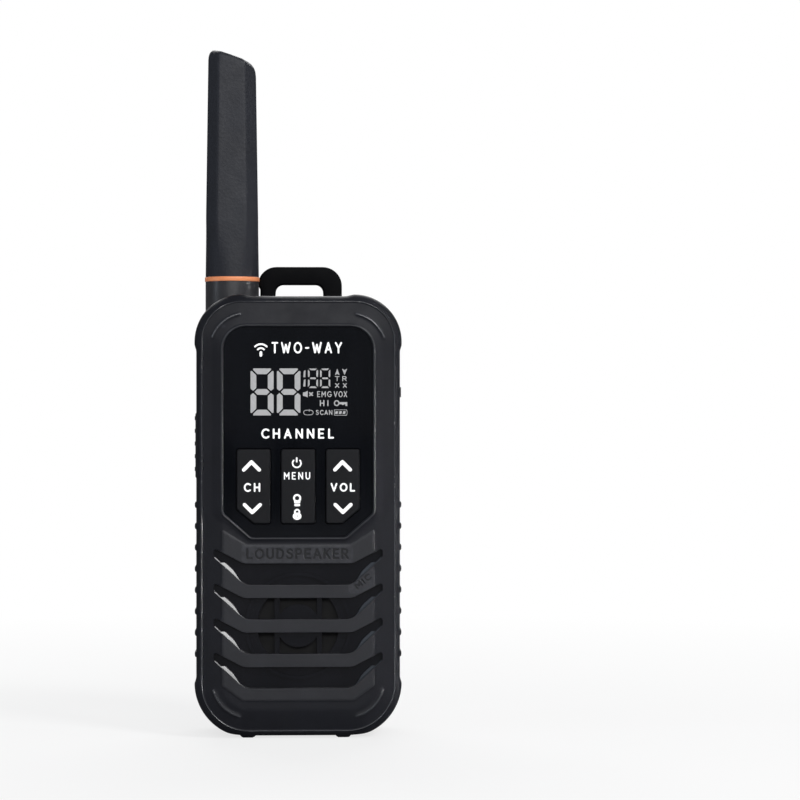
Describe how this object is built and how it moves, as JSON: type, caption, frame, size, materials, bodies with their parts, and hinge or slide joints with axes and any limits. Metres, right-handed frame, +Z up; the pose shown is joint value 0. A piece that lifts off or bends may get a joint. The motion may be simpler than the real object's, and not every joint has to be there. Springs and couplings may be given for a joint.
{
  "type": "handheld two-way radio",
  "caption": "Rugged handheld two-way radio with a fixed stub antenna, display, rocker keys, slotted speaker grille, talk key, belt clip and battery door.",
  "frame": {"origin": "on the surface it stands on, at the middle of the overall width and depth", "axes": "+X to the right seen from the front, the front faces -Y, +Z up along the antenna"},
  "size_m": [0.0582, 0.0439, 0.1943],
  "materials": {
    "rubber": "fine matt grain",
    "key_rubber": "smooth matt silicone",
    "gloss_shell": "polished black",
    "rear_plastic": "fine spark-eroded grain",
    "loop_plastic": "smooth satin",
    "lens": "polished black acrylic",
    "lcd": "dark glass",
    "backlight": "white diffuser",
    "antenna_rubber": "stippled rubber",
    "antenna_plastic": "fine grain",
    "ring_orange": "satin",
    "copper": "bright",
    "board": "solder resist",
    "tin": "tinned",
    "jack_plastic": "plain",
    "speaker_metal": "plain",
    "cone": "film",
    "gasket": "smooth",
    "steel": "zinc",
    "cell": "printed sleeve",
    "torch_glass": "clear",
    "led": "plain"
  },
  "bodies": {
    "radio": {"front_overmould": "rubber", "side_overmould": "rubber", "keypad_mat": "rubber", "front_shell": "gloss_shell", "front_frame": "gloss_shell", "rear_shell": "rear_plastic", "lanyard_loop": "loop_plastic", "display_lens": "lens", "lcd_panel": "lcd", "lcd_backlight": "backlight", "antenna_whip": "antenna_rubber", "antenna_base": "antenna_plastic", "antenna_ring": "ring_orange", "antenna_coil": "copper", "main_board": "board", "rf_shield": "tin", "key_switches": "tin", "charge_socket": "tin", "microphone": "tin", "headset_jack": "jack_plastic", "ptt_switch": "jack_plastic", "speaker_frame": "speaker_metal", "speaker_magnet": "speaker_metal", "speaker_cone": "cone", "speaker_membrane": "cone", "shell_gasket": "gasket", "housing_screws": "steel", "clip_pin": "steel", "clip_spring": "steel", "battery_contacts": "steel", "battery_cells": "cell", "torch_lens": "torch_glass", "torch_led": "led"},
    "channel_key": {"channel_rocker": "key_rubber"},
    "menu_key": {"menu_rocker": "key_rubber"},
    "volume_key": {"volume_rocker": "key_rubber"},
    "talk_key": {"ptt_button": "key_rubber"},
    "port_flap": {"port_cover": "rubber"},
    "door": {"battery_door": "rear_plastic", "door_gasket": "gasket", "door_screws": "steel"},
    "clip": {"belt_clip": "rear_plastic"}
  },
  "joints": [
    {"name": "channel_key_tip", "type": "hinge", "parent": "radio", "child": "channel_key", "pos_m": [-0.0124, -0.0191, 0.07045], "axis": [1, 0, 0], "range_deg": [-2.5, 2.5], "stiffness_Nm_per_rad": 0.3},
    {"name": "menu_key_tip", "type": "hinge", "parent": "radio", "child": "menu_key", "pos_m": [0, -0.0191, 0.07045], "axis": [1, 0, 0], "range_deg": [-2.5, 2.5], "stiffness_Nm_per_rad": 0.3},
    {"name": "volume_key_tip", "type": "hinge", "parent": "radio", "child": "volume_key", "pos_m": [0.0124, -0.0191, 0.07045], "axis": [1, 0, 0], "range_deg": [-2.5, 2.5], "stiffness_Nm_per_rad": 0.3},
    {"name": "talk_key_press", "type": "slide", "parent": "radio", "child": "talk_key", "axis": [1, 0, 0], "range_m": [0, 0.0009], "stiffness_N_per_m": 700, "springref_m": -0.001},
    {"name": "port_flap_bend", "type": "hinge", "parent": "radio", "child": "port_flap", "pos_m": [0.02792, -0.00725, 0.10955], "axis": [0, -1, 0], "range_deg": [0, 95]},
    {"name": "door_lift", "type": "slide", "parent": "radio", "child": "door", "axis": [0, 1, 0], "range_m": [0, 0.025]},
    {"name": "clip_open", "type": "hinge", "parent": "radio", "child": "clip", "pos_m": [0, 0.0146, 0.106], "axis": [1, 0, 0], "range_deg": [0, 18], "stiffness_Nm_per_rad": 0.35, "springref_deg": -17.19}
  ]
}
